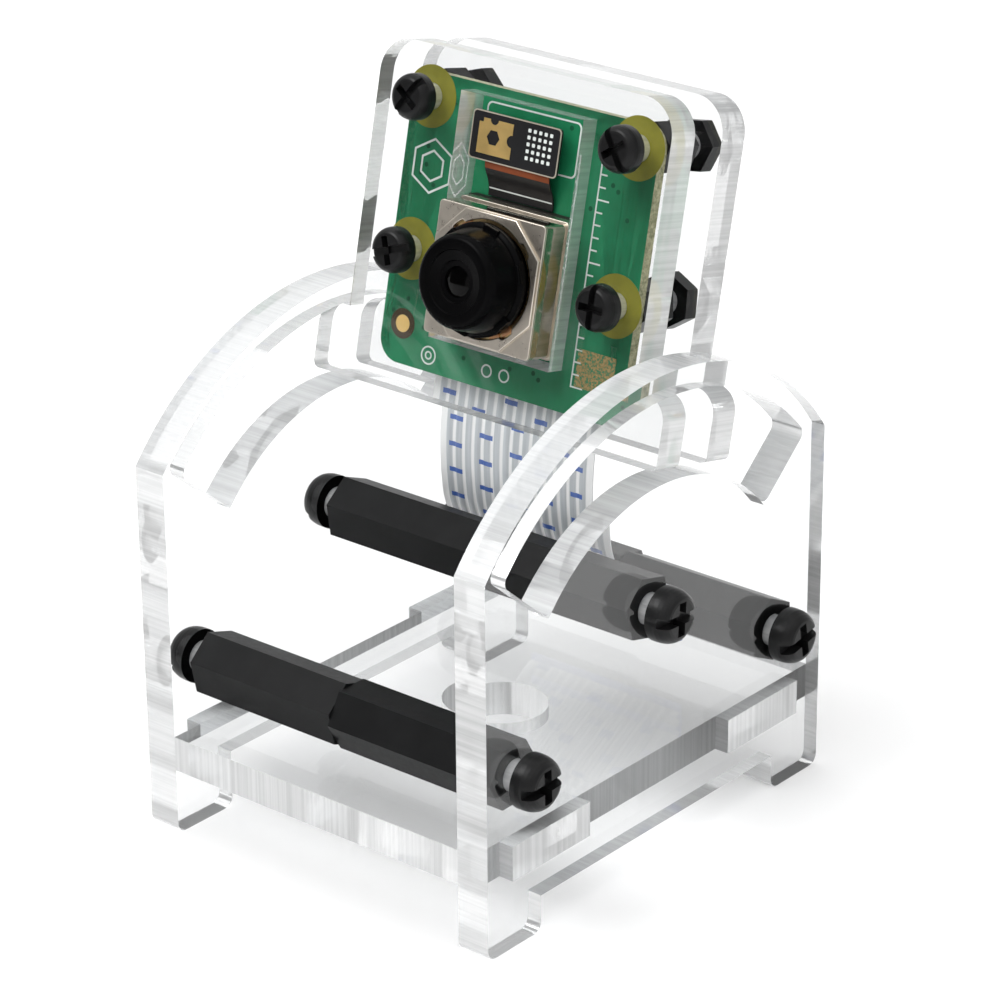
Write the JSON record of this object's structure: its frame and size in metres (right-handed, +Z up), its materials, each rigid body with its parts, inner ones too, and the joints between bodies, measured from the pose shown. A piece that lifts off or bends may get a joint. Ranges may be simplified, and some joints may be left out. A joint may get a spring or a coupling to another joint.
{
  "type": "camera tilt stand",
  "caption": "Clear tabletop stand with arc-slotted side plates, holding a small lens board on a carriage that tilts and stays put.",
  "frame": {"origin": "on the surface the feet stand on, under the middle of the stand", "axes": "+X to the stand's right seen from the lens side turned about, -Y the way the lens faces, +Z up"},
  "size_m": [0.04, 0.043, 0.0616],
  "materials": {
    "clear_acrylic": "polished clear sheet with laser-cut edges",
    "black_nylon": "satin moulded nylon",
    "green_board": "green solder mask over fibreglass",
    "black_chips": "moulded chip packages",
    "moulded_base": "dark moulded liquid-crystal polymer",
    "nickel_can": "matt nickel plate with a warm cast",
    "silicon": "polished die behind glass",
    "filter_glass": "coated filter glass",
    "magnet_nickel": "nickel-plated magnet",
    "spring_brass": "thin etched spring sheet",
    "dark_flex": "black coverlay film",
    "connector_black": "black moulded plastic",
    "connector_ivory": "ivory moulded plastic",
    "contact_brass": "gold-plated contacts",
    "ribbon_white": "white film over flat conductors",
    "ribbon_stiffener": "blue stiffener film",
    "lens_black": "semi-gloss black moulding",
    "copper_coil": "enamelled copper wire",
    "lens_glass": "coated optical glass"
  },
  "bodies": {
    "stand": {"left_side_plate": "clear_acrylic", "right_side_plate": "clear_acrylic", "base_plate": "clear_acrylic", "front_bar_left_standoff": "black_nylon", "front_bar_right_standoff": "black_nylon", "middle_bar_left_standoff": "black_nylon", "middle_bar_right_standoff": "black_nylon", "rear_bar_left_standoff": "black_nylon", "rear_bar_right_standoff": "black_nylon", "bar_screws": "black_nylon", "ribbon_cable": "ribbon_white", "ribbon_folds": "ribbon_white", "ribbon_free_end": "ribbon_stiffener"},
    "carriage": {"front_plate": "clear_acrylic", "back_plate": "clear_acrylic", "camera_screws": "black_nylon", "camera_nuts": "black_nylon", "camera_board": "green_board", "board_components": "black_chips", "sensor_base": "moulded_base", "sensor_can": "nickel_can", "image_sensor": "silicon", "infrared_filter": "filter_glass", "focus_magnets": "magnet_nickel", "focus_springs": "spring_brass", "sensor_flex": "dark_flex", "flex_connector": "connector_black", "flex_stiffener": "dark_flex", "ffc_connector": "connector_ivory", "ffc_contacts": "contact_brass", "ribbon_contact_end": "ribbon_white"},
    "lens": {"lens_holder": "lens_black", "focus_coil": "copper_coil", "lens_barrel": "lens_black", "front_lens": "lens_glass", "inner_lenses": "lens_glass"},
    "latch": {"connector_latch": "connector_black"}
  },
  "joints": [
    {"name": "tilt", "type": "hinge", "parent": "stand", "child": "carriage", "pos_m": [0, -0.0004, 0.0148], "axis": [1, 0, 0], "range_deg": [-20.5, 47], "deforming": ["ribbon_cable"]},
    {"name": "focus", "type": "slide", "parent": "carriage", "child": "lens", "axis": [0, -0.9751, 0.2215], "range_m": [0, 0.0003], "stiffness_N_per_m": 200},
    {"name": "latch_slide", "type": "slide", "parent": "carriage", "child": "latch", "axis": [0, -0.2215, -0.9751], "range_m": [0, 0.001]}
  ]
}
